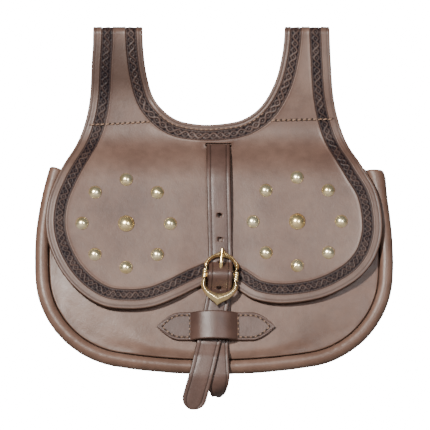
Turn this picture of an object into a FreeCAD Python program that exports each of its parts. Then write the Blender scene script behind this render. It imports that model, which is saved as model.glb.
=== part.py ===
import FreeCAD, Part
import math
import os

V = FreeCAD.Vector

# Kidney-shaped belt pouch. Millimetres, +Z up, the front looks towards -Y, +X is right seen from the front.
# The origin is the middle of the belt that passes through both loops.

# ---- leather and belt
LEATHER = 2.4            # body leather
BELT_GAP = 5.5           # front to back inside a belt loop
LOOP_TOP = 33.6          # outside top of the belt loops
YOKE_TOP = -33.0         # where the loops' front runs begin
FOLD_Z = -46.0           # the flap folds about this line
FOLD_GAP = 1.55          # fold line to the yoke's lower edge
BACK_TOP = -31.0         # top edge of the back panel, behind the yoke
LOOP_END = -44.0         # lower end of each loop's rear run, inside the yoke

FRONT_IN = -BELT_GAP / 2
YOKE_Y = FRONT_IN - LEATHER / 2
BACK_Y0 = FRONT_IN + LEATHER
BACK_Y1 = BACK_Y0 + LEATHER

# ---- sloping front of the pouch: v runs down it, w stands out from it
FRONT_TOP_Y = -19.0
FRONT_TOP_Z = -65.0
FRONT_SLOPE = math.atan(0.24)
PANEL_TOP_V = 3.0

# ---- outside line of the pouch on the front plane, as tangent arcs (radius, end angle from straight down)
POUCH_BOTTOM_V = 147.7
BOTTOM_ARC = (427.0, 9.15)
CORNER_ARC = (67.8, 86.2)
SIDE_ARC = (218.5, 107.7)

PIPE_R = 5.0             # rolled leather tube
PIPE_BORE_R = 2.9
CORE_R = 2.8
PIPE_W = -4.1            # height of the tube's centre on the front plane
CORE_RECESS_V = 3.5
PANEL_INSET = 10.1
GUSSET_INSET = 6.0
GUSSET_W = PIPE_W - PIPE_R - 0.1
BACK_INSET = 3.0

# ---- flap
FLAP_LIFT = 1.0          # clear space between the front panel and the flap
FLAP_W = FLAP_LIFT + LEATHER / 2
FLAP_FRONT_W = FLAP_LIFT + LEATHER
KNEE_R = 16.0

# ---- closing strap and buckle
STRAP_T = 1.8
STRAP_W = 16.8
STRAP_HOLE_R = 1.7
HOLE_PITCH = 17.2
CHAPE_T = 1.6
CHAPE_W = 17.0
CHAPE_SLOT = 5.2
BAR_R = 1.5
BAR_X = 4.6
BAR_V = 79.4
CHAPE_RING = (1.85, 3.35)
CHAPE_RING_W = 18.4      # the fold round the bar is pressed a little wider than the strap
BAR_W = FLAP_FRONT_W + 1.35 + CHAPE_RING[1]
BUCKLE_TILT = -6.4       # degrees, the point leans towards +X
FRAME_T = 2.9
FRAME_BACK = 1.1         # the frame's rear side, behind the bar's axis
TONGUE_R = 1.2
TONGUE_EYE = (1.85, 3.0)
TONGUE_EYE_W = 4.2

# ---- keeper
KEEPER_X = 1.4
KEEPER_V = 114.8
KEEPER_H = 20.2
KEEPER_HALF = 41.2
KEEPER_T = 2.0
KEEPER_ROW_X = 18.2

# ---- studs: radius, dome height
STUD = (4.65, 2.6)
STUD_CENTRE = (5.8, 3.3)
POST_R = 0.9
BURR = (2.4, 0.4)
STUD_RING_R = 30.8
STUD_RINGS = {"left": (-61.3, -105.0), "right": (58.1, -103.6)}

THREAD_R = 0.45
STITCH_PITCH = 3.5
STITCH_LENGTH = 2.5
SEAM_GROOVE = (1.5, 1.0)  # width and depth of the sunk rear seam, so that the back lies flat

FRONT_PLACE = FreeCAD.Placement(
    V(0, FRONT_TOP_Y, FRONT_TOP_Z),
    FreeCAD.Rotation(V(1, 0, 0), 90 - math.degrees(FRONT_SLOPE)),
)


def on_front(v, w):
    """(y, z) of the point v down the front plane and w out from it."""
    s = math.sin(FRONT_SLOPE)
    c = math.cos(FRONT_SLOPE)
    return (FRONT_TOP_Y - v * s - w * c, FRONT_TOP_Z - v * c + w * s)


def to_front(shape):
    """Move a shape drawn with x across, y up and z out onto the front plane."""
    moved = shape.copy()
    moved.Placement = FRONT_PLACE.multiply(shape.Placement)
    return moved


def face(edges):
    return Part.Face(Part.Wire(Part.__sortEdges__(edges)))


def smooth(points):
    curve = Part.BSplineCurve()
    curve.interpolate(points)
    return curve.toShape()


def line(a, b):
    return Part.makeLine(a, b)


def unit(p, q):
    dy = q[0] - p[0]
    dz = q[1] - p[1]
    length = math.hypot(dy, dz)
    return (dy / length, dz / length)


def bent_line(points, radii, offset):
    """Straights and round bends through (y, z) corner points, moved sideways by offset."""
    def place(p, n):
        return V(0, p[0] + n[0] * offset, p[1] + n[1] * offset)

    edges = []
    u = unit(points[0], points[1])
    n = (-u[1], u[0])
    here = place(points[0], n)
    for corner, after, r in zip(points[1:-1], points[2:], radii):
        u2 = unit(corner, after)
        n2 = (-u2[1], u2[0])
        turn = math.acos(u[0] * u2[0] + u[1] * u2[1])
        t = r * math.tan(turn / 2)
        bis = (u2[0] - u[0], u2[1] - u[1])
        size = math.hypot(*bis)
        rise = r / math.cos(turn / 2) - r
        mid = (corner[0] + bis[0] / size * rise, corner[1] + bis[1] / size * rise)
        nm = (n[0] + n2[0], n[1] + n2[1])
        size = math.hypot(*nm)
        start = place((corner[0] - u[0] * t, corner[1] - u[1] * t), n)
        end = place((corner[0] + u2[0] * t, corner[1] + u2[1] * t), n2)
        if start.distanceToPoint(here) > 0.001:
            edges.append(line(here, start))
        edges.append(Part.Arc(start, place(mid, (nm[0] / size, nm[1] / size)), end).toShape())
        here = end
        u = u2
        n = n2
    last = place(points[-1], n)
    if last.distanceToPoint(here) > 0.001:
        edges.append(line(here, last))
    return edges, last


def ribbon(points, radii, thickness, x0, x1):
    """Strap of leather whose side view is a bent band, from x0 to x1."""
    one, end_one = bent_line(points, radii, thickness / 2)
    two, end_two = bent_line(points, radii, -thickness / 2)
    start_one = one[0].Vertexes[0].Point
    start_two = two[0].Vertexes[0].Point
    side = face(one + [line(end_one, end_two)] + two + [line(start_two, start_one)])
    side.translate(V(x0, 0, 0))
    return side.extrude(V(x1 - x0, 0, 0))


def box(x0, x1, y0, y1, z0, z1):
    return Part.makeBox(x1 - x0, y1 - y0, z1 - z0, V(x0, y0, z0))


def slab(x0, x1, v0, v1, w0, w1):
    """Box that lies on the front plane."""
    return to_front(box(x0, x1, -v1, -v0, w0, w1))


def cylinder_x(r, x0, x1, y, z):
    return Part.makeCylinder(r, x1 - x0, V(x0, y, z), V(1, 0, 0))


def seen_from_front(flat):
    """Everything in front of and behind a face drawn in the XZ plane."""
    return flat.extrude(V(0, 140, 0))


def xz(points):
    return [V(x, -100, z) for x, z in points]


def largest(shape):
    return max(shape.Solids, key=lambda s: s.Volume)


def save(name, shape):
    solids = shape.Solids
    out = solids[0] if len(solids) == 1 else Part.makeCompound(solids)
    out.exportStep("parts/%s.step" % name)
    print(name, len(solids), round(sum(s.Volume for s in solids), 1), out.isValid())


# ---------------------------------------------------------------- outlines

def pouch_edges(inset):
    """Round the pouch from its left top corner to its right top corner, in plane coordinates."""
    r0, f0 = BOTTOM_ARC
    r1, f1 = CORNER_ARC
    r2, f2 = SIDE_ARC
    f0, f1, f2 = (math.radians(f) for f in (f0, f1, f2))
    c0 = (0.0, POUCH_BOTTOM_V - r0)
    c1 = (c0[0] + (r0 - r1) * math.sin(f0), c0[1] + (r0 - r1) * math.cos(f0))
    c2 = (c1[0] + (r1 - r2) * math.sin(f1), c1[1] + (r1 - r2) * math.cos(f1))

    def arc(c, r, a, b, side):
        pts = []
        for f in (a, (a + b) / 2, b):
            pts.append(V(side * (c[0] + (r - inset) * math.sin(f)), -c[1] - (r - inset) * math.cos(f), 0))
        return Part.Arc(*pts).toShape()

    right = [arc(c1, r1, f0, f1, 1), arc(c2, r2, f1, f2, 1)]
    left = [arc(c2, r2, f2, f1, -1), arc(c1, r1, f1, f0, -1)]
    return left + [arc(c0, r0, -f0, f0, 1)] + right


def pouch_face(inset):
    edges = pouch_edges(inset)
    return face(edges + [line(edges[-1].Vertexes[-1].Point, edges[0].Vertexes[0].Point)])


TOP = 36.0
NECK_POINTS = [
    (-50, TOP), (-49.3, 17), (-46.9, -1.4), (-41.3, -18.2), (-28, -30.8), (-12, -34.9),
    (4.9, -34.7), (20.7, -31.3), (32.9, -22.4), (42.7, -5.6), (47.6, 15), (49.7, TOP),
]
LEFT_POINTS = [
    (-84.9, TOP), (-86, 8), (-87.5, -18.2), (-91, -35), (-98, -51.8), (-109.4, -71), (-115.8, -88),
    (-117.7, -105.7), (-114.5, -122), (-105.5, -140), (-92.6, -153.8), (-77, -162.6), (-59.2, -164.8),
    (-42.5, -163.1), (-25, -156.4), (-9.1, -148.4), (3, -144.6),
]
RIGHT_POINTS = [
    (3, -144.6), (13, -148.6), (27, -157.4), (44, -160.8), (62.7, -159.6), (77.3, -156.2),
    (90.7, -150.1), (102.5, -142), (112, -130), (117, -115), (117.6, -102), (113.4, -81.2),
    (103.6, -64.4), (95.2, -51.8), (88.2, -35), (84, -16.1), (82.2, 8), (80.9, TOP),
]


def flap_leather():
    """The one piece of leather of loops, yoke and flap, as seen from the front."""
    neck = xz(NECK_POINTS)
    left = xz(LEFT_POINTS)
    right = xz(RIGHT_POINTS)
    edges = [smooth(neck), smooth(left), smooth(right), line(left[0], neck[0]), line(right[-1], neck[-1])]
    return seen_from_front(face(edges))


def widened(centre, half):
    """Outline of a strap that follows (x, z) centre points, with square ends."""
    sides = ([], [])
    for i, p in enumerate(centre):
        a = centre[max(i - 1, 0)]
        b = centre[min(i + 1, len(centre) - 1)]
        u = unit(a, b)
        sides[0].append((p[0] + u[1] * half, p[1] - u[0] * half))
        sides[1].append((p[0] - u[1] * half, p[1] + u[0] * half))
    return sides


# ---------------------------------------------------------------- side views

HINGE = (YOKE_Y, FOLD_Z)
KNEE = on_front(0, FLAP_W)
FLAP_PATH = [HINGE, KNEE, on_front(112, FLAP_W)]


def on_shoulder(s, o):
    """(y, z) of the point s down the flap from its fold and o out from the leather's middle."""
    u = unit(HINGE, KNEE)
    return (HINGE[0] + u[0] * s + u[1] * o, HINGE[1] + u[1] * s - u[0] * o)


# the closing strap turns round the lower edge of its slit, with its sewn end inside the flap
SLIT = (4.6, 8.0)
TURN_S = 6.0
TURN_R = 2.3

LOOP_MID = BELT_GAP / 2 + LEATHER / 2
LOOP_PATH = [
    (-LOOP_MID, YOKE_TOP), (-LOOP_MID, LOOP_TOP - LEATHER / 2), (LOOP_MID, LOOP_TOP - LEATHER / 2),
    (LOOP_MID, -19.0), (FRONT_IN + LEATHER / 2, -27.5), (FRONT_IN + LEATHER / 2, LOOP_END),
]
LOOP_RADII = [LOOP_MID, LOOP_MID, 5.0, 5.0]

HUMP_W = BAR_W + 6.5
STRAP_PATH = [
    on_shoulder(20.0, -TURN_R), on_shoulder(TURN_S, -TURN_R), on_shoulder(TURN_S, TURN_R), on_front(-1, 7.2),
    on_front(36, 5.2), on_front(58, 4.6), on_front(BAR_V - 9.0, 4.6), on_front(BAR_V, HUMP_W),
    on_front(BAR_V + 8.8, 5.8), on_front(BAR_V + 14.0, 2.95), on_front(127.5, 2.95), on_front(137, 5.0),
    on_front(150, 5.0), (-58.0, -236.0),
]
STRAP_RADII = [TURN_R, TURN_R, 14.0, 30.0, 30.0, 2.4, 4.5, 1.6, 4.0, 12.0, 12.0, 24.0]

CHAPE_PATH = [
    on_front(BAR_V - 0.5, BAR_W - 2.65), on_front(BAR_V + 3.0, BAR_W - 2.65), on_front(BAR_V + 7.6, 4.4),
    on_front(BAR_V + 11.2, 1.1), on_front(128, 1.1), on_front(136, 2.9), on_front(150, 2.9),
    (-56.0, -223.5), (-22.0, -226.5), (-1.25, -214.0), (-1.25, -203.0),
]
CHAPE_RADII = [3.0, 1.5, 3.0, 12.0, 12.0, 10.0, 12.0, 14.0, 5.0]

TONGUE_PATH = [
    on_front(BAR_V - 2.2, BAR_W + 0.4), on_front(BAR_V - 7.5, BAR_W + 3.3), on_front(BAR_V - 18.6, BAR_W + 3.3),
]


# ---------------------------------------------------------------- pouch bag

def make_front_panel():
    panel = pouch_face(PANEL_INSET).extrude(V(0, 0, -LEATHER))
    panel = panel.common(box(-140, 140, -160, -PANEL_TOP_V, -10, 10))
    return to_front(panel)


def make_gusset():
    wall = pouch_face(GUSSET_INSET).cut(pouch_face(GUSSET_INSET + LEATHER))
    wall.translate(V(0, 0, GUSSET_W))
    wall = wall.common(box(-140, 140, -170, -PANEL_TOP_V, GUSSET_W - 1, GUSSET_W + 1))
    wall = to_front(wall).extrude(V(0, 80, 0))
    wall = wall.cut(box(-150, 150, BACK_Y0, 120, -300, 50))
    seam_gap = box(-9.4, 8.7, BACK_Y0 - CHAPE_T - 0.15, BACK_Y0 + 1, -206, -202.9)
    return wall.cut(seam_gap)


def make_back_panel():
    low = pouch_face(BACK_INSET).common(box(-140, 140, -170, -PANEL_TOP_V, -1, 1))
    low = to_front(low).extrude(V(0, 80, 0))
    low = low.common(box(-150, 150, BACK_Y0, BACK_Y1, -300, 50))
    upper = [(-104, -72), (-102, -62), (-88, -42), (-80, BACK_TOP), (-42, BACK_TOP), (-26, -38.6)]
    upper += [(26, -38.6), (42, BACK_TOP), (77, BACK_TOP), (86, -42), (101, -62), (104, -72)]
    corners = [V(x, BACK_Y0, z) for x, z in upper]
    edges = [line(a, b) for a, b in zip(corners, corners[1:] + corners[:1])]
    panel = low.fuse(face(edges).extrude(V(0, LEATHER, 0))).removeSplitter()
    middle = GUSSET_INSET + LEATHER / 2
    groove = pouch_face(middle - SEAM_GROOVE[0] / 2).cut(pouch_face(middle + SEAM_GROOVE[0] / 2))
    groove = groove.common(box(-140, 140, -170, -PANEL_TOP_V - 1, -1, 1))
    groove = to_front(groove).extrude(V(0, 80, 0))
    return panel.cut(groove.common(box(-150, 150, BACK_Y1 - SEAM_GROOVE[1], BACK_Y1 + 5, -300, 50)))


def sweep_round(r, inset, w):
    """Round rod along the pouch's outline."""
    edges = pouch_edges(inset)
    path = Part.Wire(Part.__sortEdges__(edges))
    path.translate(V(0, 0, w))
    rod = None
    for edge in path.OrderedEdges:
        start = edge.valueAt(edge.FirstParameter)
        along = edge.tangentAt(edge.FirstParameter)
        ring = Part.Wire(Part.makeCircle(r, start, along))
        piece = Part.Wire([edge]).makePipeShell([ring], True, True)
        rod = piece if rod is None else rod.fuse(piece)
    return to_front(rod.removeSplitter())


def make_piping():
    tube = sweep_round(PIPE_R, PIPE_R, PIPE_W)
    return largest(tube.cut(sweep_round(PIPE_BORE_R, PIPE_R, PIPE_W)))


def make_piping_core():
    core = sweep_round(CORE_R, PIPE_R, PIPE_W)
    return core.common(slab(-140, 140, CORE_RECESS_V, 170, -20, 20))


# ---------------------------------------------------------------- yoke, loops and flap

def make_yoke(leather):
    low = FOLD_Z + FOLD_GAP
    side = [
        (FRONT_IN, YOKE_TOP), (FRONT_IN, low), (FRONT_IN - 0.3, low),
        (FRONT_IN - LEATHER, low + 4.0), (FRONT_IN - LEATHER, YOKE_TOP),
    ]
    corners = [V(-150, y, z) for y, z in side]
    edges = [line(a, b) for a, b in zip(corners, corners[1:] + corners[:1])]
    return face(edges).extrude(V(300, 0, 0)).common(leather)


def make_loop(leather, x0, x1, side):
    band = ribbon(LOOP_PATH, LOOP_RADII, LEATHER, -150, 150)
    half = box(-150, 0, -60, 60, -60, 60) if side < 0 else box(0, 150, -60, 60, -60, 60)
    front = band.common(leather).common(half).common(box(-150, 150, -20, 0, YOKE_TOP, 60))
    rear = band.common(box(x0, x1, 0, 20, -60, 60))
    tail = band.common(box(x0, x1, FRONT_IN, 0, -60, -10))
    return front.fuse([rear, tail]).removeSplitter()


def make_flap(leather):
    sheet = ribbon(FLAP_PATH, [KNEE_R], LEATHER, -150, 150)
    knuckle = cylinder_x(LEATHER / 2, -150, 150, *HINGE)
    return sheet.fuse(knuckle).common(leather)


def stud_places(side):
    cx, cz = STUD_RINGS[side]
    places = {"centre": (cx, cz)}
    for i in range(8):
        angle = math.radians(90 - 45 * i)
        places[str(i + 1)] = (cx + STUD_RING_R * math.cos(angle), cz + STUD_RING_R * math.sin(angle))
    return places


def front_v(z, w):
    """How far down the front plane a point at height z and lift w is."""
    return (FRONT_TOP_Z - z + w * math.sin(FRONT_SLOPE)) / math.cos(FRONT_SLOPE)


def make_stud(x, z, size):
    """Domed head with its post, standing on the flap."""
    r, rise = size
    ball = (r * r + rise * rise) / (2 * rise)
    v = front_v(z, FLAP_FRONT_W)
    base = FLAP_FRONT_W + 0.02
    dome = Part.makeSphere(ball, V(x, -v, base + rise - ball))
    dome = dome.common(box(x - r - 1, x + r + 1, -v - r - 1, -v + r + 1, base, base + rise + 1))
    post = Part.makeCylinder(POST_R, LEATHER + 0.32, V(x, -v, FLAP_LIFT - 0.3))
    return to_front(dome.fuse(post).removeSplitter())


def make_burrs(side):
    rings = []
    for x, z in stud_places(side).values():
        at = V(x, -front_v(z, FLAP_FRONT_W), FLAP_LIFT - BURR[1] - 0.02)
        ring = Part.makeCylinder(BURR[0], BURR[1], at)
        rings.append(to_front(ring.cut(Part.makeCylinder(POST_R + 0.02, 4, at - V(0, 0, 2)))))
    return Part.makeCompound(rings)


def post_holes(side):
    holes = []
    for x, z in stud_places(side).values():
        at = V(x, -front_v(z, FLAP_FRONT_W), -5)
        holes.append(to_front(Part.makeCylinder(POST_R + 0.02, 20, at)))
    return holes


# ---------------------------------------------------------------- closing strap and buckle

STRAP_CENTRE = [
    (2.9, -30.0), (3.2, -70.0), (4.1, -112.0), (4.8, -136.0), (3.9, -150.0), (1.5, -164.0),
    (-3.2, -186.0), (-8.4, -208.0),
]
STRAP_TIP = (-13.6, -226.0)


def strap_outline():
    one, two = widened(STRAP_CENTRE + [STRAP_TIP], STRAP_W / 2)
    u = unit(STRAP_CENTRE[-1], STRAP_TIP)
    tip = (STRAP_TIP[0] + u[0] * STRAP_W / 2, STRAP_TIP[1] + u[1] * STRAP_W / 2)
    a, t, b = xz([one[-1], tip, two[-1]])
    edges = [smooth(xz(one)), Part.Arc(a, t, b).toShape(), smooth(xz(two)), line(xz(one)[0], xz(two)[0])]
    return seen_from_front(face(edges))


def tongue_shank(r):
    """Round shank along the tongue's path, with a round tip."""
    pts = [V(BAR_X, y, z) for y, z in TONGUE_PATH]
    shank = Part.makeSphere(r, pts[-1])
    for a, b in zip(pts, pts[1:]):
        shank = shank.fuse(Part.makeCylinder(r, (b - a).Length, a, b - a))
        shank = shank.fuse(Part.makeSphere(r, b))
    return shank


def make_closing_strap():
    strap = ribbon(STRAP_PATH, STRAP_RADII, STRAP_T, -40, 40).common(strap_outline())
    top = front_v(-99.0, 4.6)
    for i in (0, 1, 3):
        at = V(strap_x(top + i * HOLE_PITCH), -top - i * HOLE_PITCH, -10)
        strap = strap.cut(to_front(Part.makeCylinder(STRAP_HOLE_R, 40, at)))
    strap = strap.cut(tongue_shank(TONGUE_R + 0.35))
    return largest(strap)


def strap_x(v):
    """Middle of the strap, across, at v down the front plane."""
    z = FRONT_TOP_Z - v * math.cos(FRONT_SLOPE)
    for (x0, z0), (x1, z1) in zip(STRAP_CENTRE, STRAP_CENTRE[1:]):
        if z1 <= z <= z0:
            return x0 + (x1 - x0) * (z0 - z) / (z0 - z1)
    return STRAP_CENTRE[-1][0]


def make_slit():
    s0, s1 = SLIT
    corners = [on_shoulder(s0, -3), on_shoulder(s0, 3), on_shoulder(s1, 3), on_shoulder(s1, -3)]
    x = STRAP_CENTRE[0][0] + 0.15 - STRAP_W / 2 - 0.6
    points = [V(x, y, z) for y, z in corners]
    edges = [line(a, b) for a, b in zip(points, points[1:] + points[:1])]
    return face(edges).extrude(V(STRAP_W + 1.2, 0, 0))


def ring_x(radii, x0, x1):
    y, z = on_front(BAR_V, BAR_W)
    return cylinder_x(radii[1], x0, x1, y, z).cut(cylinder_x(radii[0], x0 - 1, x1 + 1, y, z))


def make_buckle_strap():
    """Chape round the bar, then one layer down the front and a slack loop round the bottom."""
    band = ribbon(CHAPE_PATH, CHAPE_RADII, CHAPE_T, -40, 40)
    centre = [(BAR_X, -137.0), (4.2, -150.0), (2.4, -170.0), (0.2, -200.0), (-0.4, -235.0)]
    one, two = widened(centre, CHAPE_W / 2)
    ends = [line(xz(one)[0], xz(two)[0]), line(xz(one)[-1], xz(two)[-1])]
    band = band.common(seen_from_front(face([smooth(xz(one)), smooth(xz(two))] + ends)))
    ring = ring_x(CHAPE_RING, BAR_X - CHAPE_RING_W / 2, BAR_X + CHAPE_RING_W / 2)
    band = band.cut(cylinder_x(CHAPE_RING[0], -40, 40, *on_front(BAR_V, BAR_W)))
    slot = slab(BAR_X - CHAPE_SLOT / 2, BAR_X + CHAPE_SLOT / 2, BAR_V - 6, BAR_V + 3.6, -5, 30)
    return largest(ring.fuse(band).cut(slot).removeSplitter())


OUTER_TOP = [(0, 19.2), (2.2, 16.6), (7.2, 13.6), (11.4, 9.2), (12.2, 6.4), (11.4, 3.6)]
OUTER_LOW = [(11.4, -3.0), (12.9, -6.2), (11.9, -11.0), (7.4, -16.4), (2.4, -19.9), (0, -22.2)]
INNER_TOP = [(0, 12.9), (5.2, 11.9), (8.6, 8.6), (9.65, 4.6)]
INNER_LOW = [(9.65, -6.2), (8.9, -9.2), (5.6, -11.9), (0, -13.4)]
OPENING_HALF = 9.65
BEAD = (1.9, 1.5)        # radius, width
BEAD_PITCH = 2.1


def make_buckle_frame():
    """Double-loop frame with pointed ends and three beads at each end of the bar."""
    def outline(top_half, low_half):
        edges = []
        for side in (1, -1):
            top = [V(side * x, y, -FRAME_BACK) for x, y in top_half]
            low = [V(side * x, y, -FRAME_BACK) for x, y in low_half]
            edges += [smooth(top), line(top[-1], low[0]), smooth(low)]
        return face(edges)

    frame = outline(OUTER_TOP, OUTER_LOW).cut(outline(INNER_TOP, INNER_LOW)).extrude(V(0, 0, FRAME_T))
    for side in (1, -1):
        for y in (-BEAD_PITCH, 0.0, BEAD_PITCH):
            at = V(side * (OPENING_HALF + BEAD[0]), y - BEAD[1] / 2, 0)
            frame = frame.fuse(Part.makeCylinder(BEAD[0], BEAD[1], at, V(0, 1, 0)))
    return place_buckle(frame.removeSplitter())


def place_buckle(shape):
    shape = shape.copy()
    shape.rotate(V(0, 0, 0), V(0, 0, 1), BUCKLE_TILT)
    shape.translate(V(BAR_X, -BAR_V, BAR_W))
    return to_front(shape)


def make_buckle_bar():
    return cylinder_x(BAR_R, BAR_X - 9.5, BAR_X + 9.5, *on_front(BAR_V, BAR_W))


def make_tongue():
    eye = ring_x(TONGUE_EYE, BAR_X - TONGUE_EYE_W / 2, BAR_X + TONGUE_EYE_W / 2)
    shank = tongue_shank(TONGUE_R)
    shank = shank.cut(cylinder_x(TONGUE_EYE[0], -40, 40, *on_front(BAR_V, BAR_W)))
    return largest(eye.fuse(shank).removeSplitter())


# ---------------------------------------------------------------- keeper

ARCH_INSIDE = [(-16.2, 0.0), (-14.4, 4.2), (-8.5, 7.2), (0.0, 8.4), (8.5, 7.2), (14.4, 4.2), (16.2, 0.0)]
ARCH_OUTSIDE = [(-17.7, 2.0), (-16.2, 5.0), (-9.4, 9.1), (0.0, 10.5), (9.4, 9.1), (16.2, 5.0), (17.7, 2.0)]


def make_keeper():
    """Strap with pointed ends; its middle stands up in an arch."""
    low = 0.05
    under = [V(x, 0, low + w) for x, w in ARCH_INSIDE]
    over = [V(x, 0, low + w) for x, w in ARCH_OUTSIDE]
    far = KEEPER_HALF + 5
    c0 = V(-far, 0, low)
    c1 = V(-far, 0, low + KEEPER_T)
    d0 = V(far, 0, low)
    d1 = V(far, 0, low + KEEPER_T)
    edges = [smooth(under), smooth(over), line(c0, under[0]), line(under[-1], d0), line(d0, d1)]
    edges += [line(d1, over[-1]), line(over[0], c1), line(c1, c0)]
    band = face(edges).extrude(V(0, KEEPER_H, 0))
    h = KEEPER_H / 2
    band.translate(V(0, -h, 0))
    tip = KEEPER_HALF
    outline = []
    for s in (1, -1):
        for t in (1, -1):
            outline.append(Part.Arc(V(s * 29, t * h, -5), V(s * 36.6, t * 6.6, -5), V(s * tip, 0, -5)).toShape())
        outline.append(line(V(-29, s * h, -5), V(29, s * h, -5)))
    band = band.common(face(outline).extrude(V(0, 0, 40)))
    band.translate(V(KEEPER_X, -KEEPER_V, 0))
    return to_front(largest(band))


# ---------------------------------------------------------------- stitches

def stitches(curve, lift, out):
    """Row of short threads along a curve; each lies on the surface whose normal is out."""
    threads = []
    count = int(curve.Length / STITCH_PITCH)
    params = curve.discretize(Number=2 * count + 1)
    for i in range(count):
        middle = params[2 * i + 1]
        along = params[2 * i + 2] - params[2 * i]
        along.normalize()
        start = middle - along * (STITCH_LENGTH / 2) + out * lift
        threads.append(Part.makeCylinder(THREAD_R, STITCH_LENGTH, start, along))
    return threads


def row_on_yoke(points):
    curve = smooth([V(x, FRONT_IN - LEATHER, z) for x, z in points])
    return Part.makeCompound(stitches(curve, THREAD_R + 0.02, V(0, -1, 0)))


def make_neck_stitches():
    points = [(-39.0, -27.6), (-29.6, -34.6), (-12.6, -39.4), (4.9, -39.3), (22.6, -35.5), (35.2, -26.9)]
    return row_on_yoke(points)


def make_keeper_stitches():
    """Round each pointed end and up the row beside the arch."""
    h = KEEPER_H / 2 - 2.2
    w = 0.05 + KEEPER_T
    threads = []
    for s in (1, -1):
        x0 = s * (KEEPER_ROW_X + 2.0)
        for t in (1, -1):
            run = line(V(x0, t * h, w), V(s * 29, t * h, w))
            end = Part.Arc(V(s * 29, t * h, w), V(s * 35.0, t * 5.2, w), V(s * (KEEPER_HALF - 3.4), t * 0.9, w))
            threads += stitches(run, THREAD_R + 0.02, V(0, 0, 1))
            threads += stitches(end.toShape(), THREAD_R + 0.02, V(0, 0, 1))
        row = line(V(s * KEEPER_ROW_X, -h + 1.8, w), V(s * KEEPER_ROW_X, h - 1.8, w))
        threads += stitches(row, THREAD_R + 0.02, V(0, 0, 1))
    rows = Part.makeCompound(threads)
    rows.translate(V(KEEPER_X, -KEEPER_V, 0))
    return to_front(rows)


def make_back_seam():
    """Seam just inside the back panel's edge, sunk in its groove."""
    threads = []
    for edge in pouch_edges(GUSSET_INSET + LEATHER / 2):
        flat = to_front(edge)
        points = [V(p.x, BACK_Y1 - SEAM_GROOVE[1], p.z) for p in flat.discretize(Number=9)]
        threads += stitches(smooth(points), THREAD_R + 0.02, V(0, 1, 0))
    keep = [t for t in threads if t.BoundBox.ZMax < FRONT_TOP_Z - PANEL_TOP_V - 2]
    return Part.makeCompound(keep)


def main():
    os.makedirs("parts", exist_ok=True)
    leather = flap_leather()

    save("back_panel", make_back_panel())
    save("front_panel", make_front_panel())
    save("gusset", make_gusset())
    save("piping", make_piping())
    save("piping_core", make_piping_core())
    save("yoke", make_yoke(leather))
    save("belt_loop_left", make_loop(leather, -86.0, -50.2, -1))
    save("belt_loop_right", make_loop(leather, 49.9, 81.0, 1))
    save("loop_stitches_left", row_on_yoke([(-86.0, -35.4), (-66, -34.6), (-46.5, -33.4)]))
    save("loop_stitches_right", row_on_yoke([(41.0, -32.3), (60, -31.9), (82.5, -31.5)]))
    save("neck_stitches", make_neck_stitches())
    save("keeper", make_keeper())
    save("keeper_stitches", make_keeper_stitches())
    save("buckle_strap", make_buckle_strap())
    save("back_seam_stitches", make_back_seam())

    flap = make_flap(leather).cut(make_slit())
    for side in STUD_RINGS:
        flap = flap.cut(post_holes(side))
        for name, (x, z) in stud_places(side).items():
            save("stud_%s_%s" % (side, name), make_stud(x, z, STUD_CENTRE if name == "centre" else STUD))
        save("stud_burrs_%s" % side, make_burrs(side))
    behind_buckle = box(-11.6, 20.9, -80, 20, -170, -117.6)
    save("flap_panel", flap.cut(behind_buckle))
    save("flap_centre", flap.common(behind_buckle))

    save("closing_strap", make_closing_strap())
    save("buckle_frame", make_buckle_frame())
    save("buckle_bar", make_buckle_bar())
    save("buckle_tongue", make_tongue())


main()
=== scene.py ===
import bmesh
import bpy
import math
from mathutils import Vector, Matrix, noise, geometry


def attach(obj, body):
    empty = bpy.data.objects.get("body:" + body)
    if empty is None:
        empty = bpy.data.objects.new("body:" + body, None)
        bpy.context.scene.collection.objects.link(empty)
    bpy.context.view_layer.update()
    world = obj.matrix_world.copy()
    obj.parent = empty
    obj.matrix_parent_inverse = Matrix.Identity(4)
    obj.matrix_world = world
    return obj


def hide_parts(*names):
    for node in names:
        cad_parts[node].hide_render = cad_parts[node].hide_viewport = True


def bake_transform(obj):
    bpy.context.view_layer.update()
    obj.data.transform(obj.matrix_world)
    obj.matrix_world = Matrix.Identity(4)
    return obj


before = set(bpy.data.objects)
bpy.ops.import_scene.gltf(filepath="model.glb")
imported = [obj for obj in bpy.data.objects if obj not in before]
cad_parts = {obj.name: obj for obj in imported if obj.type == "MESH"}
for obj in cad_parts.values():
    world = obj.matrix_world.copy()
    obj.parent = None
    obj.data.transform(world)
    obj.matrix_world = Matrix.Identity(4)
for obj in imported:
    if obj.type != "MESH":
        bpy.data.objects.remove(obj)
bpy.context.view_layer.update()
MM = 0.001

# ---- the pouch's shape, in millimetres, as in the CAD
LEATHER = 2.4
LOOP_MID = 3.95
FOLD_Z = -46.0
SLOPE = math.atan(0.24)
FLAP_W = 2.2
FLAP_FRONT_W = 3.4
POUCH_BOTTOM_V = 147.7
ARCS = [(427.0, 9.15), (67.8, 86.2), (218.5, 107.7)]
PIPE_W = -4.1
PIPE_R = 5.0
PANEL_INSET = 10.1           # from the bag's outside to the front panel's edge
BAR_V, BAR_W, BAR_X = 79.4, 8.1, 4.6
STRAP_W, STRAP_T = 16.8, 1.8
CHAPE_T = 1.6
KEEPER_X, KEEPER_V, KEEPER_H, KEEPER_HALF = 1.4, 114.8, 20.2, 41.2
STUD_RINGS = {"left": (-61.3, -105.0), "right": (58.1, -103.6)}
STUD_RING_R = 30.8


# ---- small helpers

def smoothstep(a, b, x):
    t = min(max((x - a) / (b - a), 0.0), 1.0)
    return t * t * (3 - 2 * t)


def bell(x, centre, width):
    return math.exp(-((x - centre) / width) ** 2)


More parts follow.
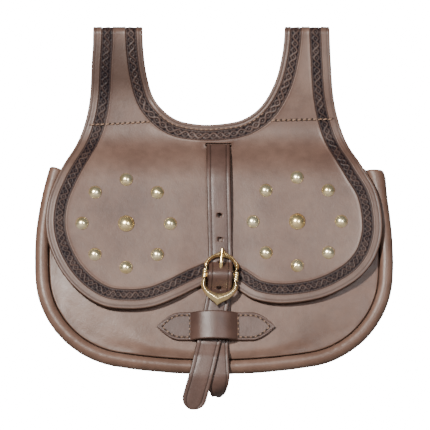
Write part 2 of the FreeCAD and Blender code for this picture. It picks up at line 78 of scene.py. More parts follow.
def wander(x, y, z, size, seed=0.0):
    """Slow noise from -1 to 1 whose lumps are about size millimetres."""
    return noise.noise(Vector((x / size + seed, y / size - seed, z / size + 0.37 * seed)))


def on_front(v, w):
    s, c = math.sin(SLOPE), math.cos(SLOPE)
    return (-19.0 - v * s - w * c, -65.0 - v * c + w * s)


def front_v(z, w):
    return (-65.0 - z + w * math.sin(SLOPE)) / math.cos(SLOPE)


def front_point(x, v, w):
    y, z = on_front(v, w)
    return Vector((x, y, z))


def rounded(points, radii, step):
    """Samples (y, z) along straights and round bends through corner points."""
    pts = [Vector(p) for p in points]
    out = [pts[0]]
    for i in range(1, len(pts) - 1):
        u = (pts[i] - pts[i - 1]).normalized()
        w = (pts[i + 1] - pts[i]).normalized()
        turn = u.angle(w)
        r = radii[i - 1]
        t = r * math.tan(turn / 2)
        side = 1 if u.x * w.y - u.y * w.x > 0 else -1
        start = pts[i] - u * t
        centre = start + Vector((-u.y, u.x)) * r * side
        n = max(3, int(r * turn / step))
        for k in range(n + 1):
            a = side * turn * k / n
            arm = (start - centre)
            out.append(centre + Vector((arm.x * math.cos(a) - arm.y * math.sin(a),
                                        arm.x * math.sin(a) + arm.y * math.cos(a))))
    out.append(pts[-1])
    return resample(out, step)


def resample(points, step):
    """Even samples along a polyline."""
    lengths = [0.0]
    for a, b in zip(points, points[1:]):
        lengths.append(lengths[-1] + (b - a).length)
    total = lengths[-1]
    n = max(2, int(round(total / step)))
    out = []
    k = 0
    for i in range(n + 1):
        s = total * i / n
        while k < len(points) - 2 and lengths[k + 1] < s:
            k += 1
        span = lengths[k + 1] - lengths[k]
        f = (s - lengths[k]) / span if span > 1e-9 else 0.0
        out.append(points[k].lerp(points[k + 1], min(max(f, 0.0), 1.0)))
    return out


def between(a, b, low, high, x):
    return a * ((high - x) / (high - low)) + b * ((x - low) / (high - low))


def spline(points, step):
    """Even samples along a smooth line through the points."""
    p = [Vector(q) for q in points]
    p = [p[0] * 2 - p[1]] + p + [p[-1] * 2 - p[-2]]
    out = []
    for i in range(1, len(p) - 2):
        p0, p1, p2, p3 = p[i - 1:i + 3]
        t = [0.0]
        for a, b in ((p0, p1), (p1, p2), (p2, p3)):
            t.append(t[-1] + math.sqrt((b - a).length))
        n = max(4, int((p2 - p1).length / step))
        for k in range(n):
            x = t[1] + (t[2] - t[1]) * k / n
            a1 = between(p0, p1, t[0], t[1], x)
            a2 = between(p1, p2, t[1], t[2], x)
            a3 = between(p2, p3, t[2], t[3], x)
            b1 = between(a1, a2, t[0], t[2], x)
            b2 = between(a2, a3, t[1], t[3], x)
            out.append(between(b1, b2, t[1], t[2], x))
    out.append(p[-2])
    return resample(out, step)


class Path:
    """A flat line read by its length: at(s) gives the point and the direction there."""

    def __init__(self, samples):
        self.p = samples
        self.s = [0.0]
        for a, b in zip(samples, samples[1:]):
            self.s.append(self.s[-1] + (b - a).length)
        self.length = self.s[-1]

    def at(self, s):
        step = self.length / (len(self.p) - 1)
        i = min(max(int(s / step), 0), len(self.p) - 2)
        f = (s - self.s[i]) / (self.s[i + 1] - self.s[i])
        p = self.p[i].lerp(self.p[i + 1], f)
        a = self.p[max(i - 1, 0)]
        b = self.p[min(i + 2, len(self.p) - 1)]
        return p, (b - a).normalized()


def circle(count):
    """Cosine and sine of even steps once round."""
    return [(math.cos(2 * math.pi * k / count), math.sin(2 * math.pi * k / count)) for k in range(count)]


def round_edge(e):
    """Height of a rim rounded over 0.8 mm, from 0 at its edge to 1, at the distance e from it."""
    return math.sqrt(max(0.0, 1 - (max(0.8 - e, 0) / 0.8) ** 2))


def link_object(name, data):
    obj = bpy.data.objects.new(name, data)
    bpy.context.scene.collection.objects.link(obj)
    return obj


def skin(faces, rows, closed=False, flip=False):
    """Faces round a tube whose rows are rings of vertex numbers; closed joins the last row to the first."""
    for a, b in zip(rows, rows[1:] + (rows[:1] if closed else [])):
        for k in range(len(a)):
            m = (k + 1) % len(a)
            faces.append((a[k], b[k], b[m], a[m]) if flip else (a[k], a[m], b[m], b[k]))


def rings(base, count, size):
    """Vertex numbers of equal rings that were added one after the other."""
    return [[base + j * size + k for k in range(size)] for j in range(count)]


def build(name, verts, faces, body, material, replaces, fields=None):
    """A finished piece: mesh in the row frame, riding on its CAD body."""
    mesh = bpy.data.meshes.new(name)
    mesh.from_pydata([tuple(c * MM for c in v) for v in verts], [], faces)
    mesh.validate()
    for field, values in (fields or {}).items():
        layer = mesh.attributes.new(field, "FLOAT", "POINT")
        layer.data.foreach_set("value", values)
    for polygon in mesh.polygons:
        polygon.use_smooth = True
    obj = link_object(name, mesh)
    for m in material if isinstance(material, (list, tuple)) else [material]:
        mesh.materials.append(m)
    if body:
        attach(obj, body)
    if replaces:
        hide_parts(*replaces)
    return obj


# ---- materials

def new_material(name):
    m = bpy.data.materials.new(name)
    m.use_nodes = True
    nodes = m.node_tree.nodes
    return m, nodes, m.node_tree.links, nodes["Principled BSDF"], nodes.new("ShaderNodeTexCoord")


def noise_node(nodes, links, coords, scale, detail, rough):
    n = nodes.new("ShaderNodeTexNoise")
    n.inputs["Scale"].default_value = scale
    n.inputs["Detail"].default_value = detail
    n.inputs["Roughness"].default_value = rough
    links.new(coords.outputs["Object"], n.inputs["Vector"])
    return n


def ramp_node(nodes, links, value, stops):
    r = nodes.new("ShaderNodeValToRGB")
    elements = r.color_ramp.elements
    while len(elements) < len(stops):
        elements.new(0.5)
    for e, (at, colour) in zip(elements, stops):
        e.position = at
        e.color = (*colour, 1)
    links.new(value, r.inputs["Fac"])
    return r


def map_range(nodes, links, value, low, high):
    m = nodes.new("ShaderNodeMapRange")
    m.inputs["To Min"].default_value = low
    m.inputs["To Max"].default_value = high
    links.new(value, m.inputs["Value"])
    return m.outputs[0]


def field_node(nodes, name):
    """The value that the mesh stores for itself under this name."""
    a = nodes.new("ShaderNodeAttribute")
    a.attribute_name = name
    return a.outputs["Fac"]


def bump_node(nodes, links, height, strength, distance):
    b = nodes.new("ShaderNodeBump")
    b.inputs["Strength"].default_value = strength
    b.inputs["Distance"].default_value = distance
    links.new(height, b.inputs["Height"])
    return b


def mix_colour(nodes, links, factor, a, b, mode="MIX"):
    m = nodes.new("ShaderNodeMix")
    m.data_type = "RGBA"
    m.blend_type = mode
    if isinstance(factor, float):
        m.inputs[0].default_value = factor
    else:
        links.new(factor, m.inputs[0])
    for socket, value in ((6, a), (7, b)):
        if isinstance(value, tuple):
            m.inputs[socket].default_value = (*value, 1)
        else:
            links.new(value, m.inputs[socket])
    return m.outputs[2]


def leather(name, dark, mid, light, tool, edge, rough):
    """Satin leather: cloudy tan with fine pores; the mesh's fields darken its tooling and edges, and the
    edge field also paints shade on the left belt loop, the flap's margin, the piping's seam and bore and the
    panel beside that seam.
    """
    m, nodes, links, bsdf, coords = new_material(name)
    clouds = noise_node(nodes, links, coords, 22.0, 5.0, 0.6)
    stops = [(0.30, dark), (0.5, mid), (0.72, light)]
    colour = ramp_node(nodes, links, clouds.outputs["Fac"], stops).outputs[0]
    patches = noise_node(nodes, links, coords, 140.0, 3.0, 0.55)
    stops = [(0.3, (0.86, 0.86, 0.86)), (0.7, (1.1, 1.08, 1.06))]
    fleck = ramp_node(nodes, links, patches.outputs["Fac"], stops)
    colour = mix_colour(nodes, links, 0.8, colour, fleck.outputs[0], "MULTIPLY")
    for field, tint in (("edge", edge), ("tool", tool)):
        colour = mix_colour(nodes, links, field_node(nodes, field), colour, tint)
    links.new(colour, bsdf.inputs["Base Color"])
    shine = map_range(nodes, links, patches.outputs["Fac"], rough - 0.08, rough + 0.10)
    links.new(shine, bsdf.inputs["Roughness"])
    gloss = map_range(nodes, links, field_node(nodes, "tool"), 0.38, 0.06)
    links.new(gloss, bsdf.inputs["Specular IOR Level"])
    pores = nodes.new("ShaderNodeTexVoronoi")
    pores.inputs["Scale"].default_value = 1500.0
    links.new(coords.outputs["Object"], pores.inputs["Vector"])
    fine = bump_node(nodes, links, pores.outputs["Distance"], 0.16, 0.00025)
    hide = noise_node(nodes, links, coords, 260.0, 4.0, 0.6)
    soft = bump_node(nodes, links, hide.outputs["Fac"], 0.18, 0.0008)
    links.new(fine.outputs[0], soft.inputs["Normal"])
    links.new(soft.outputs[0], bsdf.inputs["Normal"])
    return m


def brass_material(name, dark, mid, light):
    """Polished brass with faint darker stains."""
    m, nodes, links, bsdf, coords = new_material(name)
    stains = noise_node(nodes, links, coords, 90.0, 3.0, 0.5)
    colour = ramp_node(nodes, links, stains.outputs["Fac"], [(0.3, dark), (0.5, mid), (0.75, light)])
    links.new(colour.outputs[0], bsdf.inputs["Base Color"])
    bsdf.inputs["Metallic"].default_value = 0.92
    spread = map_range(nodes, links, stains.outputs["Fac"], 0.20, 0.30)
    links.new(spread, bsdf.inputs["Roughness"])
    return m


def two_tone(name, scale, detail, mix, dark, light, roughness):
    """Matt material that wanders between two tones."""
    m, nodes, links, bsdf, coords = new_material(name)
    wear = noise_node(nodes, links, coords, scale, detail, mix)
    colour = ramp_node(nodes, links, wear.outputs["Fac"], [(0.3, dark), (0.7, light)])
    links.new(colour.outputs[0], bsdf.inputs["Base Color"])
    bsdf.inputs["Roughness"].default_value = roughness
    return m


# The edge tints colour the dyed cut edges and also paint shade wherever the mesh's edge field asks for it.
FLAP_LEATHER = leather("flap_leather", (0.084, 0.047, 0.036), (0.115, 0.068, 0.052), (0.144, 0.090, 0.070),
                       tool=(0.007, 0.005, 0.007), edge=(0.035, 0.016, 0.010), rough=0.45)
DEEP = {"tool": (0.012, 0.007, 0.006), "edge": (0.030, 0.013, 0.008), "rough": 0.41}
BODY_LEATHER = leather("body_leather", (0.088, 0.048, 0.034), (0.122, 0.070, 0.051), (0.162, 0.099, 0.075),
                       **DEEP)
STRAP_LEATHER = leather("strap_leather", (0.054, 0.029, 0.023), (0.077, 0.043, 0.034), (0.104, 0.062, 0.050),
                        **DEEP)
BRASS = brass_material("brass", (0.80, 0.56, 0.22), (0.93, 0.73, 0.38), (0.97, 0.82, 0.50))
PALE_BRASS = brass_material("pale_brass", (0.82, 0.62, 0.30), (0.98, 0.85, 0.53), (1.0, 0.93, 0.70))
THREAD = two_tone("thread", 700.0, 3.0, 0.6, (0.12, 0.065, 0.042), (0.27, 0.17, 0.115), 0.7)
# Painted shade: near-black colour for the insides of stitch holes and strap holes.
HOLE_SHADE = two_tone("stitch_hole_shade", 900.0, 2.0, 0.5, (0.012, 0.006, 0.004), (0.04, 0.02, 0.012), 0.85)


# ---- leather cut from a flat pattern

EDGE_ROWS = 7


def offsets(curve, closed=False):
    """Unit normals that point to the left of the direction of travel."""
    out = []
    n = len(curve)
    for i in range(n):
        a = curve[i - 1] if i or closed else curve[0]
        b = curve[(i + 1) % n] if i < n - 1 or closed else curve[-1]
        d = (b - a).normalized()
        out.append(Vector((-d.y, d.x)))
    return out


def inside(p, loop):
    hit = False
    j = len(loop) - 1
    for i in range(len(loop)):
        a, b = loop[i], loop[j]
        if (a.y > p.y) != (b.y > p.y) and p.x < (b.x - a.x) * (p.y - a.y) / (b.y - a.y) + a.x:
            hit = not hit
        j = i
    return hit


def plate(curves, rows, place, thickness, relief, grid, round_r, closed=False, hole=None):
    """Sheet with rounded edges, cut along curves and detailed in rows that follow them.

    curves are flat sample lists with the leather on their left, rows holds the insets of the rows for each
    curve, place maps (flat point, height) into space, and relief gives (height, tooling, darkening) at
    (curve, length, inset); the darkening is edge dye, and painted shade where relief paints it.
    """
    verts, faces, tool, edge = [], [], [], []
    half = thickness / 2

    def vertex(flat, height, dark=0.0, edge_dye_and_shade=0.0):
        verts.append(place(flat, height))
        tool.append(dark)
        edge.append(edge_dye_and_shade)
        return len(verts) - 1

    loop_flat, loop_front, loop_back, caps = [], [], [], []
    for c, curve in enumerate(curves):
        normals = offsets(curve, closed)
        lengths = [0.0]
        for a, b in zip(curve, curve[1:]):
            lengths.append(lengths[-1] + (b - a).length)
        table = []
        for i, p in enumerate(curve):
            line = []
            for k in range(EDGE_ROWS):
                a = math.radians(-90 + 180 * k / (EDGE_ROWS - 1))
                t = round_r * (1 - math.cos(a))
                line.append(vertex(p + normals[i] * t, half * math.sin(a), 0.0, 0.8 * math.cos(a) ** 2))
            for t in rows[c]:
                h, dark, edge_dye_and_shade = relief(c, lengths[i], t)
                line.append(vertex(p + normals[i] * t, half + h, dark, edge_dye_and_shade))
            back = vertex(p + normals[i] * rows[c][-1], -half)
            table.append((line, back))
            loop_flat.append(p + normals[i] * rows[c][-1])
            loop_front.append(line[-1])
            loop_back.append(back)
        pairs = list(zip(table, table[1:]))
        if closed:
            pairs.append((table[-1], table[0]))
        for (a, ab), (b, bb) in pairs:
            for k in range(len(a) - 1):
                faces.append((a[k], b[k], b[k + 1], a[k + 1]))
            faces.append((ab, bb, b[0], a[0]))
        if not closed:
            caps.append(tuple([table[0][1]] + table[0][0]))
            caps.append(tuple(reversed([table[-1][1]] + table[-1][0])))
    faces += caps

    n = len(loop_flat)
    edges = [(i, (i + 1) % n) for i in range(n)]
    points = list(loop_flat)
    if hole:
        m = len(hole)
        edges += [(n + i, n + (i + 1) % m) for i in range(m)]
        points += hole
    xs = [p.x for p in loop_flat]
    ys = [p.y for p in loop_flat]
    x = min(xs) + grid
    coarse = loop_flat[::max(1, int(grid / 1.5))]
    while x < max(xs):
        y = min(ys) + grid
        while y < max(ys):
            p = Vector((x, y))
            clear = all(abs(p.x - q.x) > grid * 0.6 or abs(p.y - q.y) > grid * 0.6 for q in coarse)
            if clear and inside(p, loop_flat) and not (hole and inside(p, hole)):
                points.append(p)
            y += grid
        x += grid
    flat, _, tris, origin, _, _ = geometry.delaunay_2d_cdt(points, edges, [], 0, 1e-5)
    front, back = [], []
    for i, p in enumerate(flat):
        source = [o for o in origin[i] if o < n]
        front.append(loop_front[source[0]] if source else vertex(p, half))
        back.append(loop_back[source[0]] if source else vertex(p, -half))
    for tri in tris:
        mid = (flat[tri[0]] + flat[tri[1]] + flat[tri[2]]) / 3
        if not inside(mid, loop_flat) or (hole and inside(mid, hole)):
            continue
        faces.append(tuple(front[i] for i in tri))
        faces.append(tuple(back[i] for i in reversed(tri)))
    if hole:
        ring = [i for i, o in enumerate(origin) if any(n <= k < n + len(hole) for k in o)]
        ring.sort(key=lambda i: min(k for k in origin[i] if k >= n))
        for a, b in zip(ring, ring[1:] + ring[:1]):
            faces.append((front[a], back[a], back[b], front[b]))
    return verts, faces, {"tool": tool, "edge": edge}


# the loops, yoke and flap are one piece: this is its side view, from the flap's hem up and over the belt
LEATHER_PATH = Path(rounded(
    [on_front(112, FLAP_W), on_front(0, FLAP_W), (-LOOP_MID, FOLD_Z), (-LOOP_MID, 32.4), (LOOP_MID, 32.4),
     (LOOP_MID, -19.0), (-1.55, -27.5), (-1.55, -44.0)],
    [44.0, 30.0, LOOP_MID - 0.01, LOOP_MID - 0.01, 5.0, 5.0], 0.5))
APEX = next(s for s, p in zip(LEATHER_PATH.s, LEATHER_PATH.p) if p.x > 0)


def pattern_u(z):
    """Length along the leather of the front point at height z."""
    for i in range(1, len(LEATHER_PATH.p)):
        a, b = LEATHER_PATH.p[i - 1], LEATHER_PATH.p[i]
        if a.y <= z <= b.y:
            return LEATHER_PATH.s[i - 1] + (z - a.y) / (b.y - a.y) * (b - a).length
    return 0.0


NECK_POINTS = [
    (-50, 26), (-49.3, 15), (-46.9, -1.4), (-41.3, -18.2), (-28, -30.8), (-12, -34.9),
    (4.9, -34.7), (20.7, -31.3), (32.9, -22.4), (42.7, -5.6), (47.6, 13), (49.2, 26),
]
LEFT_POINTS = [
    (-84.9, 26), (-86, 8), (-87.5, -18.2), (-91, -35), (-98, -51.8), (-109.4, -71), (-115.8, -88),
    (-117.7, -105.7), (-114.5, -122), (-105.5, -140), (-92.6, -153.8), (-77, -162.6), (-59.2, -164.8),
    (-42.5, -163.1), (-25, -156.4), (-9.1, -148.4), (3, -144.6),
]
RIGHT_POINTS = [
    (13, -148.6), (27, -157.4), (44, -160.8), (62.7, -159.6), (77.3, -156.2),
    (90.7, -150.1), (102.5, -142), (112, -130), (117, -115), (117.6, -102), (113.4, -81.2),
    (103.6, -64.4), (95.2, -51.8), (88.2, -35), (84, -16.1), (82.2, 8), (81.4, 26),
]
BAND = {0: (6.4, 7.2), 1: (4.7, 6.9)}      # inset and width of the stamped border on each curve
BRAID_PITCH = 9.0


def flat_curve(points, first_x, last_x):
    """Flat cutting line through front points, carried on over the belt at both of its ends."""
    over = [LEATHER_PATH.length, APEX + 50, APEX + 10]
    flat = [(first_x, u) for u in over]
    flat += [(x, pattern_u(z)) for x, z in points]
    flat += [(last_x, u) for u in reversed(over)]
    return spline(flat, 0.5)


def braid(s, t):
    """Two interlaced cords of a stamped border: height above its floor, from 0 to 1."""
    phase = 2 * math.pi * s / BRAID_PITCH
    best = 0.0
    for k in (0, 1):
        centre = 1.75 * math.sin(phase + math.pi * k)
        slope = 1.75 * 2 * math.pi / BRAID_PITCH * math.cos(phase + math.pi * k)
        d = abs(t - centre) / math.sqrt(1 + slope * slope)
        over = 0.78 + 0.22 * math.cos(phase / 2 + math.pi / 4 + math.pi * k)
        best = max(best, over * (1 - smoothstep(0.25, 1.05, d)))
    dot = math.hypot(((s / (BRAID_PITCH / 2)) % 1 - 0.5) * BRAID_PITCH / 2, t)
    eye = 0.75 * (1 - smoothstep(0.3, 0.8, dot))
    rim = 0.55 * max(bell(t, 2.75, 0.35), bell(t, -2.75, 0.35)) * (0.6 + 0.4 * math.sin(4.2 * phase))
    return max(best, eye, rim)


def tooling(c, s, t):
    """Stamped border between two incised lines, with a burnished ridge beside each line."""
    start, width = BAND[c]
    x = t - start
    # Edge dye within about 3 mm of the cut, plus painted shade over the whole margin out to the border.
    edge_dye_and_shade = 0.45 * (1 - smoothstep(0.8, 3.2, t)) + 0.16 * (1 - smoothstep(start - 1, start, t))
    lines = bell(x, 0.0, 0.38) + bell(x, width, 0.38) + 0.4 * bell(t, 2.3, 0.3)
    ridges = bell(x, -0.85, 0.45) + 1.7 * bell(x, width + 0.95, 0.5)
    h = -0.55 * lines + 0.18 * ridges
    dark = 0.95 * lines
    if 0.2 < x < width - 0.2:
        fade = smoothstep(0.2, 0.7, x) * (1 - smoothstep(width - 0.7, width - 0.2, x))
        wear = 0.10 * wander(s, t, c * 9.0, 7.0)
        top = braid(s + 0.35 * wander(s, 0, 3.0, 12.0), x - width / 2)
        h += fade * (-0.62 + 0.62 * top)
        dark = max(dark, fade * (1.0 - (0.40, 0.62)[c] * top + 1.6 * wear))
    return h, min(max(dark, 0.0), 1.0), edge_dye_and_shade


def flap_place(flat, height):
    """Bend the flat pattern along the leather's side view, with the lobes' rims standing off a little."""
    p, d = LEATHER_PATH.at(min(max(flat.y, 0.0), LEATHER_PATH.length))
    n = Vector((-d.y, d.x))
    x, z = flat.x, p.y
    lift = 0.0
    if flat.y < APEX:
        reach = (max(abs(x - 2) - 52, 0) / 44) ** 2 + (max(-z - 104, 0) / 38) ** 2
        rim = 1.5 * (1 - math.exp(-reach / 1.5))
        on_lobe = smoothstep(-66, -92, z) * (0.15 + 0.85 * smoothstep(12, 32, abs(x - 4)))
        lift = on_lobe * (1.6 * rim + 0.35 * wander(x, z, 1.0, 55.0, 2.0) + 0.4)
        lift += 0.25 * smoothstep(-40, -52, -abs(z)) * wander(x, z, 4.0, 30.0, 5.0)
        lift += 0.9 * bell(x, -9.5, 5.5) * bell(z, -55, 9)
        lift += 1.0 * smoothstep(38, 46, x) * bell(z, -6, 22)
        lift -= 2.2 * smoothstep(-38, -46, x) * bell(z, -14, 18)
    p = p + n * (height + lift)
    return Vector((x, p.x, p.y))


def on_leather(x, z):
    """Point on the outside of the flap leather in front of (x, z)."""
    return flap_place(Vector((x, pattern_u(z))), LEATHER / 2)


BAND_ROWS = []
for end in (16.2, 14.0):
    fine = [3.9 + 0.35 * k for k in range(int((end - 0.9 - 3.9) / 0.35) + 1)]
    BAND_ROWS.append([1.4, 1.8, 2.3, 2.8, 3.3] + fine + [end])
SLIT_U = pattern_u(-50.3)
SLIT = [Vector((x, SLIT_U + side * 1.7)) for x, side in ((-6.1, -1), (12.2, -1), (12.2, 1), (-6.1, 1))]


def make_leather():
    hem = flat_curve(LEFT_POINTS + RIGHT_POINTS, -85.2, 81.0)
    neck = flat_curve(NECK_POINTS[::-1], 49.8, -50.3)
    verts, faces, fields = plate([hem, neck], BAND_ROWS, flap_place, LEATHER, tooling, 4.0, 0.95, hole=SLIT)
    for i, p in enumerate(verts):
        # Painted shade: darkens the upper left belt loop through the edge field.
        painted_loop_shade = smoothstep(-30, -2, p.z) * (1 - 0.7 * smoothstep(18, 30, p.z)) * smoothstep(-36, -50, p.x)
        fields["edge"][i] = max(fields["edge"][i], 0.75 * painted_loop_shade)
    obj = build("flap_leather", verts, faces, None, FLAP_LEATHER,
                ["flap_panel", "flap_centre", "yoke", "belt_loop_left", "belt_loop_right"], fields)
    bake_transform(obj)


# ---- pouch bag

def pouch_arcs():
    """(centre, radius, start angle, end angle) of the right half, angles from straight down."""
    out = []
    centre = Vector((0, POUCH_BOTTOM_V - ARCS[0][0]))
    start = 0.0
    for i, (r, end) in enumerate(ARCS):
        end = math.radians(end)
        out.append((centre.copy(), r, start, end))
        if i < 2:
            centre += Vector((math.sin(end), math.cos(end))) * (r - ARCS[i + 1][0])
        start = end
    return out


def pouch_line(inset, step, top_v=3.0):
    """Samples (x, -v) round the pouch, from its right top corner to its left top corner."""
    half = []
    for c, r, a, b in pouch_arcs():
        for k in range(41):
            g = a + (b - a) * k / 40
            half.append(Vector((c.x + (r - inset) * math.sin(g), -c.y - (r - inset) * math.cos(g))))
    half = [p for p in half if p.y < -top_v]
    left = [Vector((-p.x, p.y)) for p in half]
    return resample(half[::-1] + left[1:], step)


def pouch_inset(x, v):
    """How far inside the pouch's outside line a point on the front plane is."""
    for c, r, a, b in pouch_arcs():
        arm = Vector((abs(x), v)) - c
        if math.atan2(arm.x, arm.y) <= b or r == ARCS[-1][0]:
            return r - arm.length
    return 0.0


def splay(x, v):
    """How far the right top corner of the bag spreads outwards."""
    return 3.6 * bell(max(v, 0.0), 0.0, 18.0) if x > 0 else 0.0


def make_front_panel():
    """Crowned panel that rolls down into the seam beside the piping, more widely at the corners."""
    outline = pouch_line(PANEL_INSET, 1.0)[::-1]

    def surface(c, s, t):
        pucker = 0.14 * bell(t, 3.5, 3.0) * math.sin(s / 5.2 + 2.0 * wander(s, 0, 0, 20.0))
        wave = 0.35 * smoothstep(3, 9, t) * (1 - smoothstep(24, 32, t)) * wander(s, t * 2, 0, 25.0)
        # The third value darkens the face beside the seam: painted shade in the crease by the piping.
        return pucker + wave, 0.0, 0.5 * bell(t, 0.0, 1.8)

    def place(flat, height):
        corner = smoothstep(38, 84, abs(flat.x))
        roll = 8.0 + 23.0 * corner
        inset = pouch_inset(flat.x, -flat.y) - PANEL_INSET
        depth = (2.0 + 0.9 * corner) * (1 - smoothstep(0.0, roll, inset)) ** 1.5
        return front_point(flat.x, -flat.y, height - 1.2 - depth)

    rows = [1.4, 2.0, 2.8, 3.6, 4.6, 5.8, 7.2, 8.8, 10.6, 13.0, 16.0, 19.5, 23.5, 28.0, 32.0]
    verts, faces, fields = plate([outline], [rows], place, LEATHER, surface, 5.0, 0.9)
    build("front_panel", verts, faces, "pouch", BODY_LEATHER, ["front_panel"], fields)


def make_back_panel():
    low = [Vector((p.x, on_front(-p.y, 0)[1])) for p in pouch_line(3.0, 1.0, 7.0)]
    upper = [(-102, -62), (-88, -42), (-80, -31), (-42, -31), (-26, -38.6)]
    upper += [(26, -38.6), (42, -31), (77, -31), (86, -42), (97, -60)]
    loop = resample(low + [Vector(p) for p in upper] + [low[0]], 1.0)[:-1]
    loop.reverse()

    def place(flat, height):
        return Vector((flat.x, 0.85 + height, flat.y))

    def surface(c, s, t):
        return 0.0, 0.0, 0.3

    verts, faces, fields = plate([loop], [[1.6, 2.4]], place, LEATHER, surface, 8.0, 0.7, True)
    faces = [tuple(reversed(f)) for f in faces]
    build("back_panel", verts, faces, "pouch", BODY_LEATHER, ["back_panel"], fields)


def make_gusset():
    """Side and bottom wall, bulging a little and creased across its run."""
    outer = pouch_line(6.0, 1.6, 3.2)
    rows = 13
    verts, faces, edge_dye_and_shade = [], [], []
    for p, n in zip(outer, offsets(outer)):
        sheets = [(k, 0.0) for k in range(rows)] + [(k, 2.2) for k in reversed(range(rows))]
        for k, depth in sheets:
            f = k / (rows - 1)
            arch = math.sin(math.pi * f)
            swell = 1.6 * arch ** 0.8 + 0.5 * arch * wander(p.x, p.y, f * 9, 9.0)
            at = p - n * (swell - depth)
            start = front_point(at.x + splay(at.x, -at.y) * (1 - f), -at.y, PIPE_W - PIPE_R)
            verts.append(Vector((start.x, start.y + (-0.4 - start.y) * f, start.z)))
            edge_dye_and_shade.append(0.5 * (bell(f, 0.0, 0.08) + bell(f, 1.0, 0.08)))
    table = rings(0, len(outer), 2 * rows)
    skin(faces, table, flip=True)
    for ring, way in ((table[0], 1), (table[-1], -1)):
        for k in range(rows - 1):
            faces.append((ring[k], ring[k + 1], ring[-2 - k], ring[-1 - k])[::way])
    build("gusset", verts, faces, "pouch", BODY_LEATHER, ["gusset"], {"edge": edge_dye_and_shade})


def make_piping():
    """Rolled leather tube with open ends, a seam groove on its inner side and small creases."""
    line = pouch_line(PIPE_R, 1.0, -20.0)
    normals = offsets(line)
    ring = 28
    # (radius, distance from the end): out of the bore, over the cut edge and onto the outside
    ends = [(3.3, 12.0), (3.3, 1.2), (3.45, 0.5), (3.8, 0.1)]
    ends += [(4.3, 0.0), (4.7, 0.3), (4.93, 0.9), (PIPE_R, 1.6)]
    total = len(line) - 1
    stations = ends + [(PIPE_R, s) for s in range(3, total - 2)]
    stations += [(r, total - d) for r, d in reversed(ends)]
    verts, faces, edge_dye_and_shade = [], [], []
    for r, s in stations:
        i = min(int(s), total - 1)
        f = s - i
        p = line[i].lerp(line[i + 1], f)
        n = normals[i].lerp(normals[i + 1], f)
        for k in range(ring):
            a = 2 * math.pi * k / ring
            out, up = math.cos(a), math.sin(a)
            rr = r
            if r > 4.3:
                crease = wander(s * 1.6, a * 1.2, 0, 3.0, 1.0)
                rr += 0.22 * crease * (0.5 + 0.5 * wander(s, 0, 0, 40.0))
                rr += 0.18 * wander(s, a * 3, 2.0, 14.0)
                rr -= 0.7 * bell(a, math.pi * 0.07, 0.16)
            flat = p - n * out * rr
            cut = 1.3 * (1 - out) * bell(s, 0.0, 6.0)
            flare = splay(p.x, -p.y) * (0.55 - 0.45 * out)
            verts.append(front_point(flat.x + flare, cut - flat.y, PIPE_W + up * rr))
            # Painted shade: the seam groove on the tube's inner side and the bore inside its open ends are
            # darkened.
            edge_dye_and_shade.append(0.55 * bell(a, math.pi * 0.07, 0.3) + (0.5 if r < 4.0 else 0.0))
    skin(faces, rings(0, len(stations), ring))
    build("piping", verts, faces, "pouch", BODY_LEATHER, ["piping"], {"edge": edge_dye_and_shade})


# ---- straps

def strap(path, centre, half_width, thickness, stations, crease=2.9, twist=None, cup=None):
    """Bent strap with round edges and a crease along each edge.

    centre gives x at a length along the path, half_width the half width there, twist turns the strap
    about its own length, in radians, and cup is how far its edges bend to the inner side.
    """
    across = [0.0, 0.12, 0.35, 0.8, 1.5]
    across += [crease + d for d in (-0.7, -0.35, 0.0, 0.35, 0.8)] + [5.6]
    half = thickness / 2
    full = max(half_width(s) for s in stations)
    profile = [(-1, e) for e in across] + [(0, full)] + [(1, e) for e in reversed(across)]
    verts, faces, tool, edge_dye_and_shade, rows = [], [], [], [], []
    for s in stations:
        p, d = path.at(s)
        n = Vector((0, d.y, -d.x))
        lean = math.atan((centre(min(s + 1, path.length)) - centre(max(s - 1, 0))) / 2)
        side_way = Vector((math.cos(lean), -d.x * math.sin(lean), -d.y * math.sin(lean)))
        if twist:
            turn = Matrix.Rotation(twist(s), 3, Vector((0, d.x, d.y)))
            n = turn @ n
            side_way = turn @ side_way
        middle = Vector((centre(s), p.x, p.y))
        hw = max(half_width(s), 0.02)
        row = []
        for face_side in (1, -1):
            for side, e in profile if face_side > 0 else reversed(profile):
                h = half * round_edge(e)
                groove = bell(e, crease, 0.36) if face_side > 0 else 0.0
                crown = 0.08 * smoothstep(crease, full, e) if face_side > 0 else 0.0
                row.append(len(verts))
                bent = cup(s) * (1 - e / full) ** 2 if cup else 0.0
                verts.append(middle + side_way * (side * hw * (1 - e / full))
                             + n * (face_side * h + crown - 0.27 * groove - bent))
                tool.append(0.75 * groove)
                edge_dye_and_shade.append(0.85 * (1 - smoothstep(0.2, 1.3, e)))
        rows.append(row)
    skin(faces, rows, flip=True)
    faces.append(tuple(rows[0]))
    faces.append(tuple(reversed(rows[-1])))
    return verts, faces, {"tool": tool, "edge": edge_dye_and_shade}


HINGE = Vector((-LOOP_MID, FOLD_Z))
SHOULDER = (Vector(on_front(0, FLAP_W)) - HINGE).normalized()


def on_shoulder(s, o):
    n = Vector((SHOULDER.y, -SHOULDER.x))
    p = HINGE + SHOULDER * s + n * o
    return (p.x, p.y)


LOOP_CENTRE = [
    (BAR_X, -137.0), (4.2, -150.0), (2.4, -170.0), (1.6, -192.0), (3.2, -222.0), (3.2, -235.0),
]
STRAP_CENTRE = [
    (2.9, -30.0), (3.2, -70.0), (4.1, -112.0), (4.8, -136.0), (3.9, -150.0), (1.5, -164.0),
    (-3.2, -186.0), (-8.4, -208.0), (-13.6, -226.0), (-15.6, -233.0),
]


